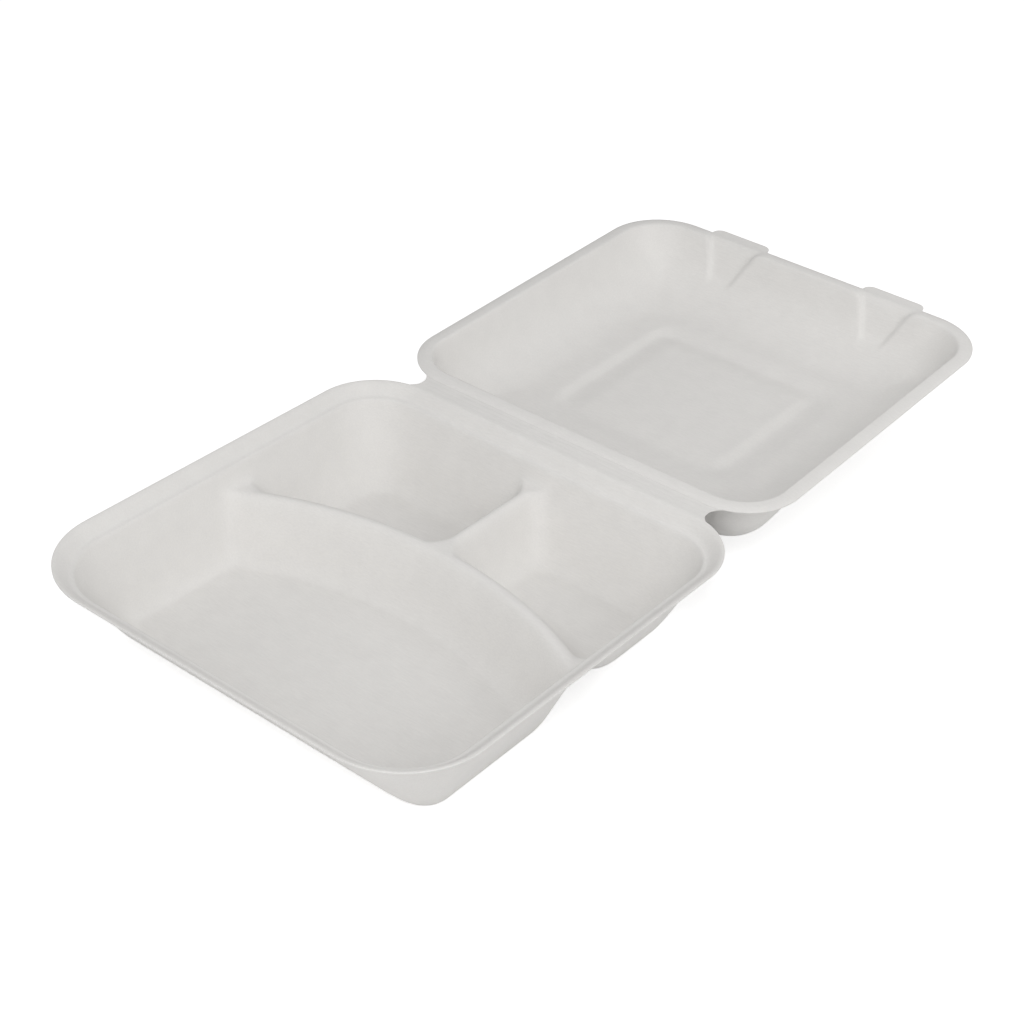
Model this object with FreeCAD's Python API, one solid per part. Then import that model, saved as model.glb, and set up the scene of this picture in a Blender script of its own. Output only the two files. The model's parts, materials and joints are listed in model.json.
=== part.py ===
"""Three-compartment moulded-fibre food container with a hinged lid, lying open.

Two nodes, moulded as one sheet on the real thing and parted here along the fold of the hinge:
base_tray  deep tray with three compartments, narrow lip, inner ledge and the base half of the web
lid        shallower tray with a sloping flange, a frame channel, two front tabs and its half of the web

Each tray is the same cavity twice: grown by the wall for the outside, and cut by itself for the inside.
Working frame: the fold is the X axis, the lip plane is z = 0, the base lies at -Y and the lid at +Y.
The finished nodes are moved so that the origin is the bottom centre of the open container.
"""
import FreeCAD, Part
import math
import os

# ---- driving dimensions, millimetres and degrees ----
base_width = 230.0
base_length = 230.2
base_front_radius = 42.4
base_rear_radius = 33.7
base_wall = 1.3
base_depth = 44.8
fold_to_base = 4.0

lip_width = 2.0
step_depth = 5.5
step_run = 5.5
ledge_width = 1.5

side_run = 18.0
front_run = 29.3
rear_run = 17.5
foot_front_radius = 13.0
foot_rear_radius = 16.0
floor_fillet = 10.0

ridge_depth = 15.0
ridge_width = 6.0
ridge_radius = 204.0
ridge_apex = 83.8
ridge_rear_slope = 1.68
ridge_front_slope = 1.93
ridge_top_chamfer = 1.6
small_ridge_width = 6.0
small_ridge_slope = 2.9
bowl_corner_fillet = 12.0

lid_width = 222.5
lid_length = 221.8
lid_near_radius = 31.3
lid_far_radius = 33.4
lid_wall = 0.7
lid_depth = 30.0
lid_open_tilt = 2.1
fold_to_lid = 6.6

flange_width = 7.5
flange_rise = 1.8
lid_side_run = 15.0
lid_near_run = 6.0
lid_far_run = 17.0
lid_foot_near_radius = 18.0
lid_foot_far_radius = 32.0
lid_floor_fillet = 24.0

frame_width = 111.0
frame_length = 105.0
frame_channel = 12.0
frame_depth = 2.5
frame_flank = 1.8
frame_centre = 117.0
frame_radius = 14.0

tab_spacing = 98.0
tab_width = 36.5
tab_reach = 5.6
tab_corner = 3.0
pocket_width = 31.0
pocket_foot = 15.0
pocket_depth = 13.0
pocket_reach = 4.2
pocket_foot_proud = 1.5

web_width = 172.0
web_thickness = 0.5

# ---- allowances of the solid operations ----
OVERLAP = 1.0
TOLERANCE = 0.01

# ---- worked out from the driving dimensions ----
base_half = base_width / 2
base_rear = -fold_to_base
base_front = base_rear - base_length
ledge_outer = lip_width + step_run
ledge_inner = ledge_outer + ledge_width
ridge_centre = -ridge_apex - ridge_radius
lid_half = lid_width / 2
lid_near = fold_to_lid
lid_far = lid_near + lid_length
UP = FreeCAD.Vector(0, 0, 1)
FOLD = FreeCAD.Vector(0, 0, 0)
ALONG_FOLD = FreeCAD.Vector(1, 0, 0)


def outline(x0, x1, y0, y1, low_radius, high_radius, z):
    """Rounded rectangle as a wire: low_radius at the two corners at y0, high_radius at those at y1."""
    turns = (
        (x0, y0, low_radius, 180),
        (x1, y0, low_radius, 270),
        (x1, y1, high_radius, 0),
        (x0, y1, high_radius, 90),
    )
    middle = FreeCAD.Vector((x0 + x1) / 2, (y0 + y1) / 2, z)
    arcs = []
    for x, y, radius, start in turns:
        centre = FreeCAD.Vector(x, y, z)
        centre.x += math.copysign(radius, middle.x - x)
        centre.y += math.copysign(radius, middle.y - y)
        arcs.append(Part.makeCircle(radius, centre, UP, start, start + 90))
    edges = []
    for i, arc in enumerate(arcs):
        following = arcs[(i + 1) % 4]
        edges.append(arc)
        edges.append(Part.makeLine(arc.Vertexes[-1].Point, following.Vertexes[0].Point))
    return Part.Wire(Part.__sortEdges__(edges))


def tapered(upper, lower):
    """Solid with straight sloping walls between two outlines."""
    return Part.makeLoft([outline(*lower), outline(*upper)], True, True)


def wedge(upper, lower, z_top, z_bottom):
    """Flat-sided block between two rectangles, each given as (x0, x1, y0, y1)."""
    wires = []
    for (x0, x1, y0, y1), z in ((lower, z_bottom), (upper, z_top)):
        corners = [FreeCAD.Vector(x, y, z) for x, y in ((x0, y0), (x1, y0), (x1, y1), (x0, y1))]
        wires.append(Part.makePolygon(corners + corners[:1]))
    return Part.makeLoft(wires, True, True)


def slant(run, drop, grow):
    """Sideways shift of a wall of this slope when it moves out by grow at right angles to itself."""
    return grow * math.hypot(run, drop) / drop


def biggest(shape):
    """The main solid of a boolean result."""
    return max(shape.Solids, key=lambda solid: solid.Volume)


def walled(plan, insets, runs, radii, foot_radii, z_top, z_bottom, grow):
    """Tapered cavity inside a plan (x0, x1, y0, y1), its walls and bottom moved out by grow.

    insets, runs: side, low-Y and high-Y distances from the plan and wall runs; radii in the same Y order.
    """
    drop = z_top - z_bottom
    out = [slant(run, drop, grow) for run in runs]
    levels = []
    for share, corner in ((0.0, radii), ((drop + grow) / drop, foot_radii)):
        side, low, high = [i + run * share - o for i, run, o in zip(insets, runs, out)]
        x0, x1, y0, y1 = plan
        rectangle = (x0 + side, x1 - side, y0 + low, y1 - high)
        levels.append(rectangle + tuple(r + grow for r in corner) + (z_top - drop * share,))
    return tapered(*levels)


# ---- base tray ----
base_plan = (-base_half, base_half, base_front, base_rear)


def base_radii(inset):
    return base_front_radius - inset, base_rear_radius - inset


def cone_drum(radius, slope, z_top, z_bottom):
    """Drum about the ridge centre, radius at z_top, widening downwards by 1 / slope."""
    drop = z_top - z_bottom
    place = FreeCAD.Vector(0, ridge_centre, z_bottom)
    return Part.makeCone(radius + drop / slope, radius, drop, place, UP)


def ridges(z_floor, grow):
    """The curved divider and the small one behind it, thinner by grow on each face."""
    z_top = -ridge_depth - grow
    below = z_floor - OVERLAP
    rear = slant(1, ridge_rear_slope, grow)
    front = slant(1, ridge_front_slope, grow)
    small = slant(1, small_ridge_slope, grow)
    drum = cone_drum(ridge_radius - rear + grow / ridge_rear_slope, ridge_rear_slope, z_top, below)
    inside = ridge_radius - ridge_width + front - grow / ridge_front_slope
    bore = cone_drum(inside, -ridge_front_slope, z_top, below)
    half = small_ridge_width / 2 - small + grow / small_ridge_slope
    foot = half + (z_top - below) / small_ridge_slope
    start = -ridge_apex - ridge_width / 2
    wall = wedge((-half, half, start, 0), (-foot, foot, start, 0), z_top, below)
    return drum.fuse(wall).removeSplitter().cut(bore)


def is_upright(edge):
    """Whether the edge runs at more than 30 degrees to the horizontal at its middle."""
    return abs(edge.tangentAt((edge.FirstParameter + edge.LastParameter) / 2).z) > 0.5


def at_height(edge, z):
    return abs(edge.BoundBox.ZMin - z) < TOLERANCE and abs(edge.BoundBox.ZMax - z) < TOLERANCE


def base_cavity(grow):
    """Everything inside the base: flared mouth, ledge and the three compartments."""
    mouth_runs = (step_run,) * 3
    mouth = walled(base_plan, (lip_width,) * 3, mouth_runs, base_radii(lip_width),
                   base_radii(ledge_outer), 0, -step_depth, grow)
    runs = (side_run, front_run, rear_run)
    foot_radii = (foot_front_radius, foot_rear_radius)
    block = walled(base_plan, (ledge_inner,) * 3, runs, base_radii(ledge_inner), foot_radii,
                   -step_depth, -base_depth, grow)
    bowls = biggest(block.cut(ridges(-base_depth - grow, grow)).removeSplitter())
    crest_height = -ridge_depth - grow
    below_crest = [e for e in bowls.Edges if abs(e.BoundBox.ZMax - crest_height) < base_wall / 4]
    corners = [e for e in below_crest if is_upright(e)]
    bowls = bowls.makeFillet(bowl_corner_fillet + grow, corners)
    foot = [e for e in bowls.Edges if at_height(e, -base_depth - grow)]
    bowls = bowls.makeFillet(floor_fillet + grow, foot)
    crest = [e for e in bowls.Edges if at_height(e, crest_height) and e.Length > 2 * bowl_corner_fillet]
    bowls = bowls.makeChamfer(ridge_top_chamfer, crest)
    return biggest(mouth.fuse(bowls))


def web_half(y_from, y_to):
    """Half of the thin hinge web, its top face in the lip plane."""
    corner = FreeCAD.Vector(-web_width / 2, y_from, -web_thickness)
    return Part.makeBox(web_width, y_to - y_from, web_thickness, corner)


def base_tray():
    lip = tapered(base_plan + base_radii(0) + (0,), base_plan + base_radii(0) + (-base_wall,))
    shell = base_cavity(base_wall).fuse(lip)
    shell = shell.fuse(web_half(base_rear - lip_width / 2, 0))
    return biggest(shell.cut(base_cavity(0)))


# ---- lid, modelled lying flat in the lip plane and then tilted about the fold ----
lid_plan = (-lid_half, lid_half, lid_near, lid_far)


def lid_radii(inset):
    return lid_near_radius - inset, lid_far_radius - inset


def inside(plan, inset):
    x0, x1, y0, y1 = plan
    return x0 + inset, x1 - inset, y0 + inset, y1 - inset


def flange_mound(z):
    """Low mound whose sides are the top face of the flange, rising inwards from height z."""
    top = inside(lid_plan, flange_width) + lid_radii(flange_width) + (z + flange_rise,)
    return tapered(top, lid_plan + lid_radii(0) + (z,))


def frame_block(inset, flank, radius, z_top, z_bottom):
    """Rounded block in the lid floor, inset from the frame's plan and drawn in by flank at the bottom."""
    levels = []
    for margin, corner, z in ((inset, radius, z_top), (inset + flank, radius - flank, z_bottom)):
        across, along = frame_width / 2 - margin, frame_length / 2 - margin
        plan = (-across, across, frame_centre - along, frame_centre + along)
        levels.append(plan + (corner, corner, z))
    return tapered(*levels)


def frame(grow):
    """Rounded ring channel sunk in the lid floor."""
    z_bottom = -lid_depth - frame_depth - grow
    z_top = -lid_depth + OVERLAP
    outer = frame_block(-grow, frame_flank, frame_radius + grow, z_top, z_bottom)
    core_radius = frame_radius - frame_channel / 2 - grow
    core = frame_block(frame_channel + grow, -frame_flank, core_radius, z_top, z_bottom)
    return outer.cut(core)


def pocket(centre, grow):
    """Recess in the far wall under a tab, narrowing downwards."""
    wall = lid_far - flange_width
    near = wall - lid_far_run
    wall_at_foot = wall - lid_far_run * pocket_depth / lid_depth
    half_top = pocket_width / 2 + grow
    half_foot = pocket_foot / 2 + grow
    upper = (centre - half_top, centre + half_top, near, wall + pocket_reach + grow)
    lower = (centre - half_foot, centre + half_foot, near, wall_at_foot + pocket_foot_proud + grow)
    return wedge(upper, lower, flange_rise, flange_rise - pocket_depth - grow)


def lid_cavity(grow):
    """Everything inside the lid: the bowl under the flange, the frame channel and the two pockets."""
    z_top = flange_rise
    runs = (lid_side_run, lid_near_run, lid_far_run)
    foot_radii = (lid_foot_near_radius, lid_foot_far_radius)
    bowl = walled(lid_plan, (flange_width,) * 3, runs, lid_radii(flange_width), foot_radii,
                  z_top, -lid_depth, grow)
    foot = [e for e in bowl.Edges if at_height(e, -lid_depth - grow)]
    bowl = bowl.makeFillet(lid_floor_fillet + grow, foot)
    for side in (-1, 1):
        bowl = bowl.fuse(pocket(side * tab_spacing / 2, grow))
    return biggest(bowl.fuse(frame(grow)))


def tab(centre):
    """Finger tab standing out from the far edge of the flange."""
    corner = FreeCAD.Vector(centre - tab_width / 2, lid_far - OVERLAP, -lid_wall)
    plate = Part.makeBox(tab_width, tab_reach + OVERLAP, lid_wall, corner)
    tip = [e for e in plate.Edges if is_upright(e) and e.CenterOfMass.y > lid_far]
    return plate.makeFillet(tab_corner, tip)


def lid():
    edge = lid_plan + lid_radii(0)
    flange = tapered(edge + (0,), edge + (-lid_wall,)).fuse(flange_mound(0))
    shell = flange.cut(flange_mound(-lid_wall))
    shell = shell.fuse(lid_cavity(lid_wall))
    for side in (-1, 1):
        shell = shell.fuse(tab(side * tab_spacing / 2))
    shell = shell.fuse(web_half(0, lid_near + OVERLAP))
    shell = biggest(shell.cut(lid_cavity(0)))
    return shell.rotate(FOLD, ALONG_FOLD, lid_open_tilt)


def to_origin(shape):
    """Move from the fold to the bottom centre of the open container."""
    tilt = math.radians(lid_open_tilt)
    far = (lid_far + tab_reach) * math.cos(tilt) + lid_wall * math.sin(tilt)
    shape.translate(FreeCAD.Vector(0, -(base_front + far) / 2, base_depth + base_wall))
    return shape


def main():
    os.makedirs("parts", exist_ok=True)
    for name, node in (("base_tray", base_tray()), ("lid", lid())):
        to_origin(node).exportStep(f"parts/{name}.step")


main()
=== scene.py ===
"""Open hinged food container of moulded plant fibre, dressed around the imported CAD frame.

Lengths are millimetres in the working frame, and metres only where a mesh, lamp or camera is made.
Working frame: the fold of the hinge is the X axis, the lip plane is z = 0, the base lies at -Y and
the lid, which is modelled flat and then tilted about the fold, at +Y.
"""
import json
import math

import bpy
import numpy as np
from mathutils import Matrix, Vector
from mathutils.geometry import delaunay_2d_cdt


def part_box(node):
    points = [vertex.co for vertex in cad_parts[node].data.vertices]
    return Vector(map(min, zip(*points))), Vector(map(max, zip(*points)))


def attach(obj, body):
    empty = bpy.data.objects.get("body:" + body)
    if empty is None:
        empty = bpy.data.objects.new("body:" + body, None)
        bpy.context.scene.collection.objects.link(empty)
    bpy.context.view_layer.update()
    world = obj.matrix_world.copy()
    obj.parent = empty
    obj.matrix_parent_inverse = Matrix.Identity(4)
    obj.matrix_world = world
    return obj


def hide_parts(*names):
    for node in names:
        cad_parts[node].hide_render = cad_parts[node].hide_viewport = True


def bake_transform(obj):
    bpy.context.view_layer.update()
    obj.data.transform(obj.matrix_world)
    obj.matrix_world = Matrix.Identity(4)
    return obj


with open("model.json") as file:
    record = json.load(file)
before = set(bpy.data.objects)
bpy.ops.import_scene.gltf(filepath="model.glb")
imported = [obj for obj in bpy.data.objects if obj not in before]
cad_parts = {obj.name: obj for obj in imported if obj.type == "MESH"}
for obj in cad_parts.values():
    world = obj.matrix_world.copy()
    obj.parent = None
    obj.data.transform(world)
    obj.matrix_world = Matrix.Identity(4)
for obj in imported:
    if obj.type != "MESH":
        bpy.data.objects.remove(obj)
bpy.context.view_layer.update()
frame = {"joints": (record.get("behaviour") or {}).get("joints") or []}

# ---- places that the CAD frame gives ----
MM = 0.001
fold = Vector(frame["joints"][0]["pos_m"]) / MM
base_low, base_high = [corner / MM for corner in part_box("base_tray")]

# ---- base tray ----
BASE_PLAN = (base_low.x, base_high.x, base_low.y - fold.y, -4.0)
BASE_FRONT_RADIUS = 42.4
BASE_REAR_RADIUS = 33.7
BASE_WALL = 1.3
BASE_DEPTH = 44.8
LIP_WIDTH = 1.5
LEDGE_OUTER = 7.0
LEDGE_INNER = 9.2
LEDGE_DEPTH = 5.5
LEDGE_ROUNDING = 1.0
LIP_ROUNDING = 1.5
FRONT_BOWL_SIDE = 23.4
REAR_BOWL_SIDE = 25.8
FRONT_FOOT = 35.6
REAR_FOOT = 24.0
FRONT_FOOT_RADIUS = 12.0
REAR_FOOT_RADIUS = 18.0
RIDGE_DEPTH = 15.0
RIDGE_CENTRE = -287.8
RIDGE_REAR = 204.0
RIDGE_FRONT = 198.0
RIDGE_REAR_SLOPE = 1.68
RIDGE_FRONT_SLOPE = 2.2
RIDGE_ROUNDING = 6.0
CREST_END_ROUNDING = 6.0
SMALL_RIDGE_HALF = 2.4
SMALL_RIDGE_SLOPE = 2.8
SMALL_RIDGE_OVERLAP = 3.0
RIDGE_JOIN = 18.0
CREST_CAP = 1.0
FRONT_WALL_BLEND = 11.0
REAR_WALL_BLEND = 27.0
FRONT_FILLET = 12.0
REAR_FILLET = 19.0
BEHIND_MARGIN = 2.0
FAR_BELOW = -200.0

# ---- lid ----
LID_PLAN = (-111.25, 111.25, 6.6, 228.4)
LID_NEAR_RADIUS = 31.3
LID_FAR_RADIUS = 33.4
LID_WALL = 0.7
LID_DEPTH = 30.0
LID_TILT = math.radians(2.1)
FLANGE_WIDTH = 8.0
FLANGE_ROLL = 5.0
FLANGE_RISE = 1.0
FLANGE_EDGE = 1.2
LID_SIDE_FOOT = 42.0
LID_NEAR_SQUARE = 11.0
LID_SQUARE_RUN = 55.0
LID_NEAR_FOOT = 22.1
LID_FAR_FOOT = 48.0
LID_NEAR_FOOT_RADIUS = 7.5
LID_FAR_FOOT_RADIUS = 24.0
LID_WALL_ANGLE = math.radians(67.0)
LID_FOOT_BEND = 32.0
FRAME_HALF_X = 55.3
FRAME_HALF_Y = 52.3
FRAME_CENTRE = 117.0
FRAME_CHANNEL = 10.5
FRAME_DEPTH = 2.0
FRAME_RADIUS = 14.0
FRAME_FLANK = 7.0
FRAME_SOFT_FLANK = 16.0
FRAME_TURN = 3.0
TAB_SPACING = 98.0
TAB_WIDTH = 36.5
TAB_REACH = 5.6
TAB_CORNER = 5.0
TAB_DIP = 0.7
TAB_DIP_BLEND = 5.0
TAB_ZONE = 30.0
POCKET_WIDTH = 31.0
POCKET_FOOT = 14.0
POCKET_DEPTH = 18.0
POCKET_REACH = 4.2
POCKET_FOOT_REACH = -7.3
POCKET_ROUNDING = 4.0
POCKET_EDGE = 4.0

# ---- hinge web ----
WEB_HALF = 86.0
WEB_WALL = 0.5
WEB_LAP = 0.8
WEB_NOTCH = 4.5
WEB_NOTCH_POWER = 2.6
WEB_SINK = 0.12
WEB_SCORE = 0.08
WEB_SCORE_PITCH = 3.0

# ---- sampling ----
GRID_STEP = 1.45
BASE_RINGS = (0.0, 0.4, 0.8, 1.2, 1.7, 2.2, 3.0, 4.0, 5.2, 6.2, 6.8, 7.4, 8.0, 8.6, 9.2, 9.8, 10.4)
LID_RINGS = (0.0, 0.5, 1.0, 1.8, 2.8, 3.8, 4.8, 5.6, 6.4, 7.2, 8.0, 8.8)
RING_GAP = 0.8
RING_CORNER_STEPS = 28
RING_LINE_STEP = 2.0
RING_LEAST_RADIUS = 1.0
NORMAL_STEP = 0.05
LEAST_RUN = 1e-3
SAME_PLACE = 1e-6
TAB_TURN_STEPS = 6
TAB_SIDE_POINTS = 3
TAB_SIDE_MARGIN = 0.2
TAB_TOP_STEPS = 17
TAB_GRID = (26, 5)
TAB_GRID_SIDE = 1.0
TAB_GRID_END = 0.8
TAB_GRID_CORNER = 3.0
WEB_STEPS_ALONG = 181
WEB_STEPS_ACROSS = 57


def soft_min(a, b, k):
    """Smaller of two heights, rounded where they are nearer to each other than k."""
    h = np.maximum(k - np.abs(a - b), 0) / k
    return np.minimum(a, b) - h * h * k / 4


def soft_max(a, b, k):
    """Larger of two heights, rounded in the same way."""
    return -soft_min(-a, -b, k)


def smooth(t):
    """Share that eases in at 0 and out at 1."""
    t = np.clip(t, 0, 1)
    return t * t * (3 - 2 * t)


def between(low, high, share):
    """Value that goes from low to high as the share goes from 0 to 1."""
    return low + (high - low) * share


def inset_in(x, y, plan, low_radius, high_radius):
    """Distance inside a rounded rectangle; low_radius is for the corners at low Y."""
    x0, x1, y0, y1 = plan
    radius = np.where(y < (y0 + y1) / 2, low_radius, high_radius)
    qx = np.abs(x - (x0 + x1) / 2) - (x1 - x0) / 2 + radius
    qy = np.abs(y - (y0 + y1) / 2) - (y1 - y0) / 2 + radius
    return radius - np.hypot(np.maximum(qx, 0), np.maximum(qy, 0)) - np.minimum(np.maximum(qx, qy), 0)


def shrunk(plan, side, low, high):
    """Plan drawn in by side on both sides, by low at its low Y and by high at its high Y."""
    x0, x1, y0, y1 = plan
    return x0 + side, x1 - side, y0 + low, y1 - high


# ---- surfaces ----
def base_height(x, y):
    """Top face of the base tray."""
    s = inset_in(x, y, BASE_PLAN, BASE_FRONT_RADIUS, BASE_REAR_RADIUS)
    slope = -LEDGE_DEPTH * (s - LIP_WIDTH) / (LEDGE_OUTER - LIP_WIDTH)
    lip = soft_min(slope, np.zeros_like(x), LIP_ROUNDING)
    mouth = soft_max(lip, np.full_like(x, -LEDGE_DEPTH), LIP_ROUNDING)
    from_centre = np.hypot(x, y - RIDGE_CENTRE)
    crest_width = RIDGE_REAR - RIDGE_FRONT
    behind = smooth((from_centre - RIDGE_FRONT + BEHIND_MARGIN) / (crest_width + 2 * BEHIND_MARGIN))
    side = between(FRONT_BOWL_SIDE, REAR_BOWL_SIDE, behind)
    foot_plan = shrunk(BASE_PLAN, side, FRONT_FOOT, REAR_FOOT)
    from_ledge = s - LEDGE_INNER
    from_foot = inset_in(x, y, foot_plan, FRONT_FOOT_RADIUS, REAR_FOOT_RADIUS)
    run = np.maximum(from_ledge - from_foot, LEAST_RUN)
    wall = -LEDGE_DEPTH - (BASE_DEPTH - LEDGE_DEPTH) * from_ledge / run
    crest = np.full_like(x, -RIDGE_DEPTH)
    rear_flank = crest - RIDGE_REAR_SLOPE * (from_centre - RIDGE_REAR)
    front_flank = crest - RIDGE_FRONT_SLOPE * (RIDGE_FRONT - from_centre)
    ridge = soft_min(soft_min(crest, rear_flank, RIDGE_ROUNDING), front_flank, RIDGE_ROUNDING)
    small_flank = crest - SMALL_RIDGE_SLOPE * (np.abs(x) - SMALL_RIDGE_HALF)
    small = soft_min(crest, small_flank, RIDGE_ROUNDING)
    small = np.where(from_centre > RIDGE_REAR - SMALL_RIDGE_OVERLAP, small, FAR_BELOW)
    ridges = np.minimum(soft_max(ridge, small, RIDGE_JOIN), crest)
    bowls = soft_max(wall, ridges, between(FRONT_WALL_BLEND, REAR_WALL_BLEND, behind))
    bowls = soft_min(bowls, soft_max(wall, crest, CREST_END_ROUNDING), CREST_CAP)
    bowls = soft_max(bowls, np.full_like(x, -BASE_DEPTH), between(FRONT_FILLET, REAR_FILLET, behind))
    return soft_min(mouth, bowls, LEDGE_ROUNDING)


def bowl_depth(t):
    """Depth of the lid wall at share t of its run: a straight wall, then an arc onto the floor."""
    sine, cosine = math.sin(LID_WALL_ANGLE), math.cos(LID_WALL_ANGLE)
    straight_drop = LID_DEPTH - LID_FOOT_BEND * (1 - cosine)
    straight_run = straight_drop / math.tan(LID_WALL_ANGLE)
    whole_run = straight_run + LID_FOOT_BEND * sine
    d = t * whole_run
    chord = np.clip(whole_run - d, 0, LID_FOOT_BEND)
    arc = LID_DEPTH - LID_FOOT_BEND + np.sqrt(LID_FOOT_BEND**2 - chord**2)
    return np.where(d < straight_run, d * math.tan(LID_WALL_ANGLE), arc)


def pocket_height(x, y):
    """Faces of the recesses under the tabs: a sloping back and two sides that narrow downwards."""
    across = np.abs(np.abs(x) - TAB_SPACING / 2)
    mouth = LID_PLAN[3] - FLANGE_WIDTH + POCKET_REACH
    back_slope = POCKET_DEPTH / (POCKET_REACH - POCKET_FOOT_REACH)
    side_slope = POCKET_DEPTH / ((POCKET_WIDTH - POCKET_FOOT) / 2)
    back = FLANGE_RISE - back_slope * (mouth - y)
    side = FLANGE_RISE - side_slope * (POCKET_WIDTH / 2 - across)
    foot = np.full_like(x, -POCKET_DEPTH)
    return soft_max(soft_max(back, side, POCKET_ROUNDING), foot, POCKET_ROUNDING)


def channel(x, y):
    """Depth of the rounded rectangular channel pressed round the middle of the lid's floor.

    Its flanks that face +X are steep, and the others slope gently.
    """
    outer = (-FRAME_HALF_X, FRAME_HALF_X, FRAME_CENTRE - FRAME_HALF_Y, FRAME_CENTRE + FRAME_HALF_Y)
    inner = shrunk(outer, FRAME_CHANNEL, FRAME_CHANNEL, FRAME_CHANNEL)
    in_outer = inset_in(x, y, outer, FRAME_RADIUS, FRAME_RADIUS)
    in_inner = inset_in(x, y, inner, FRAME_RADIUS / 2, FRAME_RADIUS / 2)
    across, along = x / FRAME_HALF_X, (y - FRAME_CENTRE) / FRAME_HALF_Y
    at_side = smooth(0.5 + FRAME_TURN * (np.abs(across) - np.abs(along)))
    at_left = at_side * smooth(0.5 - FRAME_TURN * across)
    at_right = at_side * smooth(0.5 + FRAME_TURN * across)
    outer_flank = between(FRAME_SOFT_FLANK, FRAME_FLANK, at_left)
    inner_flank = between(FRAME_SOFT_FLANK, FRAME_FLANK, at_right)
    return FRAME_DEPTH * smooth(0.5 + in_outer / outer_flank) * smooth(0.5 - in_inner / inner_flank)


def lid_height(x, y):
    """Top face of the lid, lying flat."""
    s = inset_in(x, y, LID_PLAN, LID_NEAR_RADIUS, LID_FAR_RADIUS)
    on_roll = np.clip(s / FLANGE_ROLL, 0, 1)
    in_tab_zone = y > LID_PLAN[3] - TAB_ZONE
    across = np.abs(np.abs(x) - TAB_SPACING / 2)
    at_tab = np.where(in_tab_zone, smooth(0.5 + (TAB_WIDTH / 2 - across) / TAB_DIP_BLEND), 0)
    flange = FLANGE_RISE * (1 - (1 - on_roll) ** 2) * (1 - TAB_DIP * at_tab)
    from_near = (y - LID_PLAN[2] - LID_NEAR_FOOT) / LID_SQUARE_RUN
    side = LID_SIDE_FOOT - LID_NEAR_SQUARE * (1 - smooth(from_near))
    foot_plan = shrunk(LID_PLAN, side, LID_NEAR_FOOT, LID_FAR_FOOT)
    from_foot = inset_in(x, y, foot_plan, LID_NEAR_FOOT_RADIUS, LID_FAR_FOOT_RADIUS)
    run = np.maximum(s - FLANGE_WIDTH - from_foot, LEAST_RUN)
    bowl = -bowl_depth((s - FLANGE_WIDTH) / run)
    height = soft_min(bowl, flange, FLANGE_EDGE)
    height = np.where(in_tab_zone, soft_min(height, pocket_height(x, y), POCKET_EDGE), height)
    return height - channel(x, y)


# ---- meshes ----
# wall at a sheet's rim, as a share of its wall elsewhere
RIM_SHARE = 0.6


def ring(plan, low_radius, high_radius, inset):
    """Points round a rounded rectangle, inset from the plan, as an (n, 2) array."""
    x0, x1, y0, y1 = shrunk(plan, inset, inset, inset)
    low = max(low_radius - inset, RING_LEAST_RADIUS)
    high = max(high_radius - inset, RING_LEAST_RADIUS)
    corners = ((x1 - low, y0 + low, -90, low), (x1 - high, y1 - high, 0, high),
               (x0 + high, y1 - high, 90, high), (x0 + low, y0 + low, 180, low))
    turns = []
    for cx, cy, start, radius in corners:
        angles = np.radians(start + np.linspace(0, 90, RING_CORNER_STEPS + 1))
        turns.append(np.c_[cx + radius * np.cos(angles), cy + radius * np.sin(angles)])
    points = []
    for i, turn in enumerate(turns):
        following = turns[(i + 1) % 4][0]
        count = max(1, round(np.linalg.norm(following - turn[-1]) / RING_LINE_STEP))
        share = np.arange(1, count)[:, None] / count
        points.append(turn)
        points.append(turn[-1] + (following - turn[-1]) * share)
    return np.concatenate(points)


def hex_grid(plan, low_radius, high_radius, margin):
    """Staggered grid of points at least margin inside a rounded rectangle."""
    x0, x1, y0, y1 = plan
    x, y = np.meshgrid(np.arange(x0, x1, GRID_STEP), np.arange(y0, y1, GRID_STEP * math.sqrt(3) / 2))
    x[1::2] += GRID_STEP / 2
    kept = inset_in(x, y, plan, low_radius, high_radius) > margin
    return np.c_[x[kept], y[kept]]


def triangulated(rim, inner):
    """Delaunay mesh of the area inside the rim: points (n, 2), with the rim first, and faces."""
    points = [Vector(p) for p in np.concatenate([rim, inner])]
    edges = [(i, (i + 1) % len(rim)) for i in range(len(rim))]
    found, _, faces, *_ = delaunay_2d_cdt(points, edges, [], 1, SAME_PLACE)
    return np.array([tuple(p) for p in found]), [tuple(f) for f in faces]


def normals_of(height, x, y):
    """Upward unit normals of a height surface."""
    step = NORMAL_STEP
    dx = (height(x + step, y) - height(x - step, y)) / (2 * step)
    dy = (height(x, y + step) - height(x, y - step)) / (2 * step)
    n = np.c_[-dx, -dy, np.ones_like(dx)]
    return n / np.linalg.norm(n, axis=1)[:, None]


def tilted(points, angle):
    """Points turned about the fold."""
    cosine, sine = np.cos(angle), np.sin(angle)
    x, y, z = points.T
    return np.c_[x, y * cosine - z * sine, y * sine + z * cosine]


def sheet(name, points, faces, rim_count, height, wall, tilt):
    """Closed sheet of even wall under a height surface, tilted about the fold."""
    x, y = points[:, 0], points[:, 1]
    top = np.c_[x, y, height(x, y)]
    normals = normals_of(height, x, y)
    normals[:rim_count] = (0, 0, RIM_SHARE)
    shell = tilted(np.concatenate([top, top - wall * normals]), tilt)
    return solid_sheet(name, shell, faces, range(rim_count))


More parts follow.
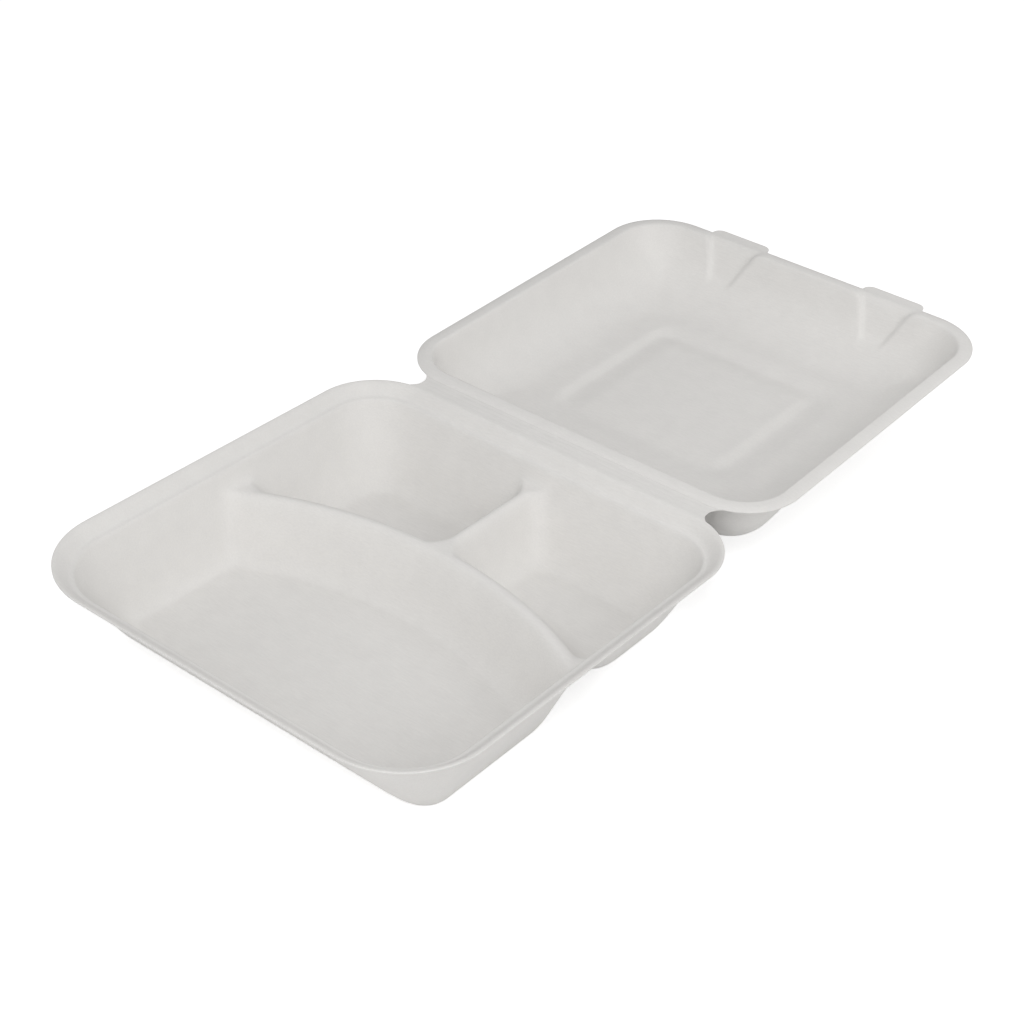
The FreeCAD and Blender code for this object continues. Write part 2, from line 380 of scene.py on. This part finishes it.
def solid_sheet(name, shell, faces, rim):
    """Piece from the points of a sheet's top and then of its underside, closed round the rim."""
    count = len(shell) // 2
    placed = (shell + np.array(fold)) * MM
    all_faces = list(faces)
    all_faces += [tuple(i + count for i in reversed(face)) for face in faces]
    for i, j in zip(rim, list(rim[1:]) + [rim[0]]):
        all_faces.append((j, i, i + count, j + count))
    mesh = bpy.data.meshes.new(name)
    mesh.from_pydata(placed.tolist(), [], all_faces)
    mesh.update()
    mesh.shade_smooth()
    on_rim = np.zeros(2 * count, int)
    on_rim[list(rim)] = 1
    on_rim[[i + count for i in rim]] = 2
    for edge in mesh.edges:
        i, j = edge.vertices
        edge.use_edge_sharp = bool(on_rim[i] and on_rim[i] == on_rim[j])
    piece = bpy.data.objects.new(name, mesh)
    bpy.context.scene.collection.objects.link(piece)
    return piece


def base_piece():
    rings = [ring(BASE_PLAN, BASE_FRONT_RADIUS, BASE_REAR_RADIUS, inset) for inset in BASE_RINGS]
    grid = hex_grid(BASE_PLAN, BASE_FRONT_RADIUS, BASE_REAR_RADIUS, BASE_RINGS[-1] + RING_GAP)
    inner = rings[1:] + [grid]
    points, faces = triangulated(rings[0], np.concatenate(inner))
    return sheet("base_shell", points, faces, len(rings[0]), base_height, BASE_WALL, 0.0)


def with_tabs(rim):
    """The lid's rim with the straight far edge stepped out round the two tabs."""
    half, far, centre = TAB_WIDTH / 2, LID_PLAN[3], TAB_SPACING / 2
    straight = TAB_REACH - TAB_CORNER
    up = np.linspace(TAB_SIDE_MARGIN, straight - TAB_SIDE_MARGIN, TAB_SIDE_POINTS)
    side = np.c_[np.full_like(up, -half), far + up]
    angles = np.radians(np.linspace(0, 90, TAB_TURN_STEPS + 1))
    turn = TAB_CORNER * np.c_[1 - np.cos(angles), np.sin(angles) - 1] + (-half, far + TAB_REACH)
    left = np.concatenate([side, turn])
    across = np.linspace(TAB_CORNER - half, half - TAB_CORNER, TAB_TOP_STEPS + 1)[1:-1]
    top = np.c_[across, np.full_like(across, far + TAB_REACH)]
    tab = np.concatenate([left, top, left[::-1] * (-1, 1)])[::-1]
    on_far = np.abs(rim[:, 1] - far) < SAME_PLACE
    clear = ~(on_far & (np.abs(np.abs(rim[:, 0]) - centre) < half + TAB_SIDE_MARGIN / 2))
    kept, placed = [], set()
    for point, keep in zip(rim, clear):
        side_sign = math.copysign(1, point[0])
        if keep:
            kept.append(point)
        elif side_sign not in placed:
            placed.add(side_sign)
            kept.extend(tab + (side_sign * centre, 0))
    return np.array(kept)


def lid_piece():
    rings = [ring(LID_PLAN, LID_NEAR_RADIUS, LID_FAR_RADIUS, inset) for inset in LID_RINGS]
    grid = hex_grid(LID_PLAN, LID_NEAR_RADIUS, LID_FAR_RADIUS, LID_RINGS[-1] + RING_GAP)
    inner = rings[1:] + [grid]
    reach = TAB_WIDTH / 2 - TAB_GRID_SIDE
    columns, rows = TAB_GRID
    x, y = np.meshgrid(np.linspace(-reach, reach, columns), np.linspace(0, TAB_REACH - TAB_GRID_END, rows))
    at_corner = (np.abs(x) > reach - TAB_GRID_CORNER) & (y > TAB_REACH - TAB_GRID_CORNER)
    for side in (-1, 1):
        inner.append(np.c_[x[~at_corner] + side * TAB_SPACING / 2, y[~at_corner] + LID_PLAN[3]])
    rim = with_tabs(rings[0])
    points, faces = triangulated(rim, np.concatenate(inner))
    return sheet("lid_shell", points, faces, len(rim), lid_height, LID_WALL, LID_TILT)


def edge_line(x, y_edge, half, radius, away):
    """Y of a plan's edge near the hinge at x, following its corner arc; away is the side it turns to."""
    past = np.clip(np.abs(x) - (half - radius), 0, radius)
    return y_edge + away * (radius - np.sqrt(radius**2 - past**2))


def web_piece():
    """Thin strip between the two shells, scored along its length, with a rounded notch at each end."""
    u, v = np.meshgrid(np.linspace(-1, 1, WEB_STEPS_ALONG), np.linspace(0, 1, WEB_STEPS_ACROSS))
    notch = WEB_NOTCH * (2 * np.abs(v - 0.5)) ** WEB_NOTCH_POWER
    x = u * (WEB_HALF + notch)
    low = edge_line(x, BASE_PLAN[3], BASE_PLAN[1], BASE_REAR_RADIUS, -1) - WEB_LAP
    high = edge_line(x, LID_PLAN[2], LID_PLAN[1], LID_NEAR_RADIUS, 1) + WEB_LAP
    y = low + (high - low) * v
    lapped = smooth(np.minimum(y - low, high - y) / WEB_LAP)
    scored = WEB_SCORE * (0.5 - 0.5 * np.cos(2 * math.pi * y / WEB_SCORE_PITCH)) * lapped
    z = -WEB_SINK * (1 - lapped) - scored
    rows, columns = x.shape
    index = np.arange(rows * columns).reshape(rows, columns)
    faces = np.stack([index[:-1, :-1], index[:-1, 1:], index[1:, 1:], index[1:, :-1]], -1).reshape(-1, 4)
    rim = np.concatenate([index[0, :-1], index[:-1, -1], index[-1, :0:-1], index[:0:-1, 0]])
    top = np.c_[x.ravel(), y.ravel(), z.ravel()]
    under = top - (0, 0, WEB_WALL)
    shell = tilted(np.concatenate([top, under]), LID_TILT * (np.tile(y.ravel(), 2) > 0))
    return solid_sheet("hinge_web", shell, [tuple(f) for f in faces.tolist()], rim.tolist())


# ---- material ----
FIBRE_PALE = (0.783, 0.770, 0.750)
FIBRE_DEEP = (0.737, 0.724, 0.706)
FIBRE_TURNS = (15, 75, 135)
FIBRE_LENGTH = 4.5
FIBRE_WIDTH = 0.5
FELT_SIZE = 1.1
CLOUD_SIZE = 11.0
FELT_DEPTH = 0.07
TONE_RANGE = (0.38, 0.62)
DULL_RANGE = (0.78, 0.92)
SPECULAR = 0.3
# shares of the cloud, the felt and the strands of each turn
TONE_SHARES = (0.22, 0.18, 0.20, 0.20, 0.20)
RELIEF_SHARES = (0.6, 0.4, 0.2, 0.2, 0.2)


def noise(tree, place, size):
    """Value round 0.5 that changes over about size millimetres."""
    node = tree.nodes.new("ShaderNodeTexNoise")
    node.inputs["Scale"].default_value = 1 / (size * MM)
    node.inputs["Detail"].default_value = 1.0
    tree.links.new(place, node.inputs["Vector"])
    return node.outputs["Fac"]


def sum_of(tree, values, shares):
    """Weighted sum of several values."""
    total = None
    for value, share in zip(values, shares):
        node = tree.nodes.new("ShaderNodeMath")
        node.operation = "MULTIPLY_ADD"
        node.inputs[1].default_value = share
        node.inputs[2].default_value = 0.0
        tree.links.new(value, node.inputs[0])
        if total:
            tree.links.new(total, node.inputs[2])
        total = node.outputs[0]
    return total


def fibres(tree, place, turn):
    """Noise drawn out into strands that lie at an angle of turn degrees across the sheet."""
    mapping = tree.nodes.new("ShaderNodeMapping")
    mapping.inputs["Rotation"].default_value = (0, 0, math.radians(turn))
    mapping.inputs["Scale"].default_value = (FIBRE_WIDTH / FIBRE_LENGTH, 1, 1)
    tree.links.new(place, mapping.inputs["Vector"])
    return noise(tree, mapping.outputs["Vector"], FIBRE_WIDTH)


def fibre():
    """Matt off-white pulp: cloudy tone, short strands that lie every way and a felted surface."""
    material = bpy.data.materials.new("fibre")
    material.use_nodes = True
    tree = material.node_tree
    surface = tree.nodes["Principled BSDF"]
    surface.inputs["Specular IOR Level"].default_value = SPECULAR
    place = tree.nodes.new("ShaderNodeTexCoord").outputs["Object"]
    cloud = noise(tree, place, CLOUD_SIZE)
    felt = noise(tree, place, FELT_SIZE)
    strands = [fibres(tree, place, turn) for turn in FIBRE_TURNS]
    values = [cloud, felt] + strands

    tone = tree.nodes.new("ShaderNodeValToRGB")
    for stop, position, colour in zip(tone.color_ramp.elements, TONE_RANGE, (FIBRE_DEEP, FIBRE_PALE)):
        stop.position = position
        stop.color = colour + (1,)
    tree.links.new(sum_of(tree, values, TONE_SHARES), tone.inputs["Fac"])
    tree.links.new(tone.outputs["Color"], surface.inputs["Base Color"])

    dull = tree.nodes.new("ShaderNodeMapRange")
    dull.inputs["To Min"].default_value, dull.inputs["To Max"].default_value = DULL_RANGE
    tree.links.new(felt, dull.inputs["Value"])
    tree.links.new(dull.outputs["Result"], surface.inputs["Roughness"])

    bump = tree.nodes.new("ShaderNodeBump")
    bump.inputs["Distance"].default_value = FELT_DEPTH * MM
    tree.links.new(sum_of(tree, values, RELIEF_SHARES), bump.inputs["Height"])
    tree.links.new(bump.outputs["Normal"], surface.inputs["Normal"])
    return material


# ---- assembly ----
def build():
    material = fibre()
    base = base_piece()
    lid = lid_piece()
    for piece, body, node in ((base, "base", "base_tray"), (lid, "lid", "lid")):
        piece.data.materials.append(material)
        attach(piece, body)
        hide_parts(node)
    web = web_piece()
    web.data.materials.append(material)
    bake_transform(web)


# ---- camera, floor and light ----
CAMERA_AZIMUTH = math.radians(37.344)
CAMERA_ELEVATION = math.radians(33.912)
CAMERA_ROLL = math.radians(3.014)
CAMERA_DISTANCE = 920.36
CAMERA_TARGET = Vector((19.863, -58.462, 0))
FOCAL_SHARE = 1.98921
SENSOR = 36.0
FLOOR_HALF = 6000.0
FLOOR_ALBEDO = 0.88
FLOOR_GLOW = 0.58
WORLD_STRENGTH = 0.45
LAMPS = (
    # azimuth and height in degrees, distance in metres, power in watts
    (150, 52, 0.55, 0.28),
    (30, 32, 1.1, 1.1),
    (0, 15, 1.1, 1.0),
    (90, 32, 1.1, 1.55),
    (30, 52, 1.1, 2.75),
)
LAMP_SHARE = 0.4


def camera():
    az, el, roll = CAMERA_AZIMUTH, CAMERA_ELEVATION, CAMERA_ROLL
    back = Vector((math.sin(az) * math.cos(el), -math.cos(az) * math.cos(el), math.sin(el)))
    level = Vector((math.cos(az), math.sin(az), 0))
    upright = back.cross(level)
    right = level * math.cos(roll) + upright * math.sin(roll)
    up = upright * math.cos(roll) - level * math.sin(roll)
    lens = bpy.data.cameras.new("camera")
    lens.sensor_width = SENSOR
    lens.lens = FOCAL_SHARE * SENSOR
    holder = bpy.data.objects.new("camera", lens)
    matrix = Matrix((right, up, back)).transposed().to_4x4()
    matrix.translation = (CAMERA_TARGET + fold + back * CAMERA_DISTANCE) * MM
    holder.matrix_world = matrix
    bpy.context.scene.collection.objects.link(holder)
    bpy.context.scene.camera = holder


def where_seen(tree, shown, hidden):
    """Strength with two values: shown for camera, gloss and glass rays, and hidden for all other rays."""
    path = tree.nodes.new("ShaderNodeLightPath")
    seen = path.outputs["Is Camera Ray"]
    for ray in ("Is Glossy Ray", "Is Transmission Ray"):
        either = tree.nodes.new("ShaderNodeMath")
        either.operation = "MAXIMUM"
        tree.links.new(seen, either.inputs[0])
        tree.links.new(path.outputs[ray], either.inputs[1])
        seen = either.outputs[0]
    strength = tree.nodes.new("ShaderNodeMapRange")
    strength.inputs["To Min"].default_value = hidden
    strength.inputs["To Max"].default_value = shown
    tree.links.new(seen, strength.inputs["Value"])
    return strength.outputs["Result"]


def floor():
    """Pale floor: it lights the object as a white table does and shows as white round its soft shadow."""
    material = bpy.data.materials.new("floor")
    material.use_nodes = True
    tree = material.node_tree
    surface = tree.nodes["Principled BSDF"]
    surface.inputs["Base Color"].default_value = (FLOOR_ALBEDO, FLOOR_ALBEDO, FLOOR_ALBEDO, 1)
    surface.inputs["Roughness"].default_value = 1.0
    surface.inputs["Specular IOR Level"].default_value = 0.0
    surface.inputs["Emission Color"].default_value = (1, 1, 1, 1)
    tree.links.new(where_seen(tree, FLOOR_GLOW, 0.0), surface.inputs["Emission Strength"])
    half = FLOOR_HALF * MM
    mesh = bpy.data.meshes.new("floor")
    corners = [(-half, -half, 0), (half, -half, 0), (half, half, 0), (-half, half, 0)]
    mesh.from_pydata(corners, [], [(0, 1, 2, 3)])
    mesh.materials.append(material)
    plane = bpy.data.objects.new("floor", mesh)
    bpy.context.scene.collection.objects.link(plane)


def from_origin(azimuth, elevation):
    """Direction from the origin: azimuth from -Y towards +X, elevation above the floor, in degrees."""
    az, el = math.radians(azimuth), math.radians(elevation)
    return Vector((math.sin(az) * math.cos(el), -math.cos(az) * math.cos(el), math.sin(el)))


def light():
    """Even white surroundings and soft round lamps, most of them in front and to the right."""
    world = bpy.data.worlds.new("studio")
    bpy.context.scene.world = world
    world.use_nodes = True
    background = world.node_tree.nodes["Background"]
    background.inputs["Color"].default_value = (1, 1, 1, 1)
    strength = where_seen(world.node_tree, 1.0, WORLD_STRENGTH)
    world.node_tree.links.new(strength, background.inputs["Strength"])
    for azimuth, elevation, distance, power in LAMPS:
        lamp = bpy.data.lights.new("lamp", "AREA")
        lamp.shape = "DISK"
        lamp.size = LAMP_SHARE * distance
        lamp.energy = power
        away = from_origin(azimuth, elevation)
        holder = bpy.data.objects.new("lamp", lamp)
        holder.location = away * distance
        holder.rotation_euler = away.to_track_quat("Z", "Y").to_euler()
        bpy.context.scene.collection.objects.link(holder)


build()
camera()
floor()
light()
bpy.context.scene.view_settings.view_transform = "Standard"
